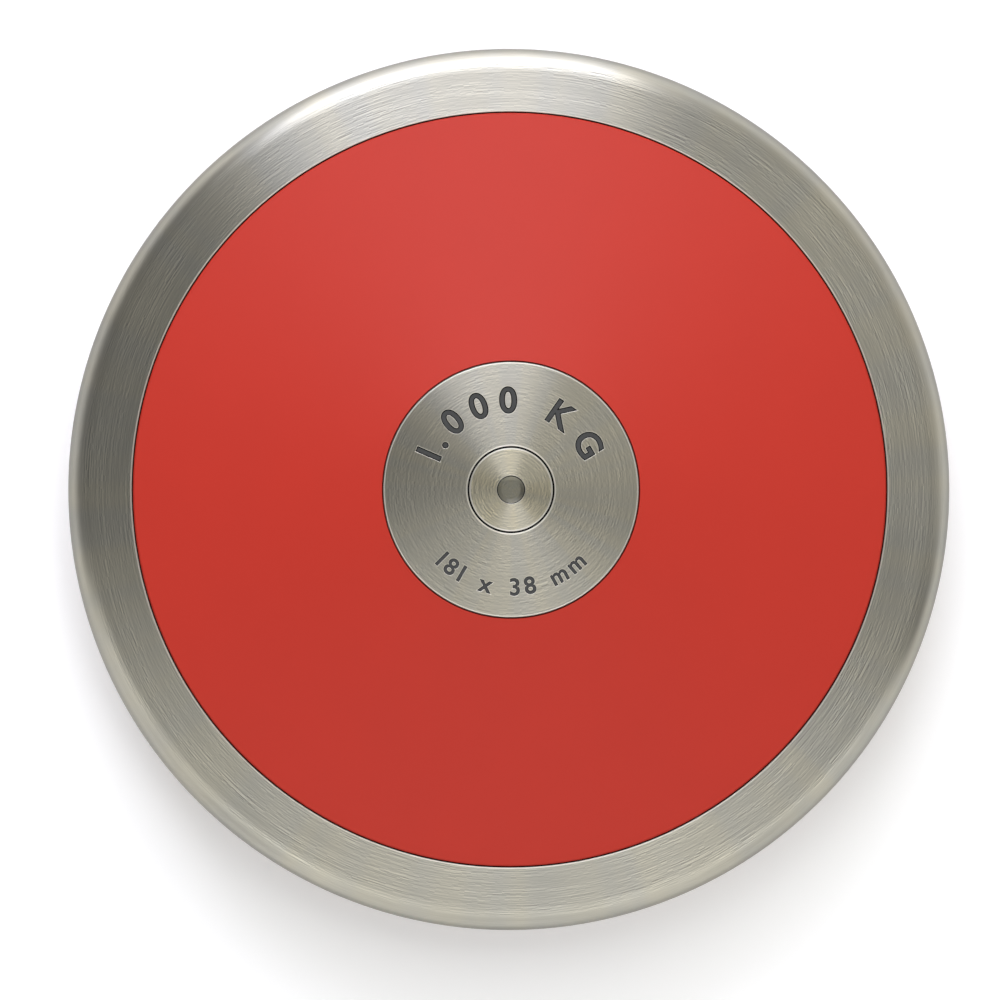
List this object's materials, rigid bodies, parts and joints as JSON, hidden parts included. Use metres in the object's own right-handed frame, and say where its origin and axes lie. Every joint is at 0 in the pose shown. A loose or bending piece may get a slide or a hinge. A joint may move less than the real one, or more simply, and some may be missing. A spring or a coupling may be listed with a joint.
{
  "type": "discus",
  "caption": "Throwing discus with a brushed steel rim, matte red tapered sides and a flush turned steel plate in the middle of each side.",
  "frame": {"origin": "centre of the discus: on the axis it spins about, midway between its two centre faces", "axes": "+Z along the spin axis, out of the pictured side; +Y towards the top of the picture; +X to its right"},
  "size_m": [0.181, 0.181, 0.038],
  "materials": {
    "rim_steel": "satin",
    "plate_steel": "satin",
    "fastener_steel": "satin",
    "panel_red": "matte",
    "seal": "matte",
    "core_aluminium": "satin",
    "felt": "matte",
    "balance_steel": "satin"
  },
  "bodies": {
    "root": {"rim": "rim_steel", "upper_side_plate": "panel_red", "lower_side_plate": "panel_red", "upper_edge_seal": "seal", "lower_edge_seal": "seal", "upper_centre_plate": "plate_steel", "lower_centre_plate": "plate_steel", "barrel_nut": "fastener_steel", "clamp_screw": "fastener_steel", "hub_core": "core_aluminium", "backing_washer": "core_aluminium", "upper_cushion_ring": "felt", "lower_cushion_ring": "felt", "balance_washer_1": "balance_steel", "balance_washer_2": "balance_steel", "balance_washer_3": "balance_steel"}
  },
  "joints": []
}
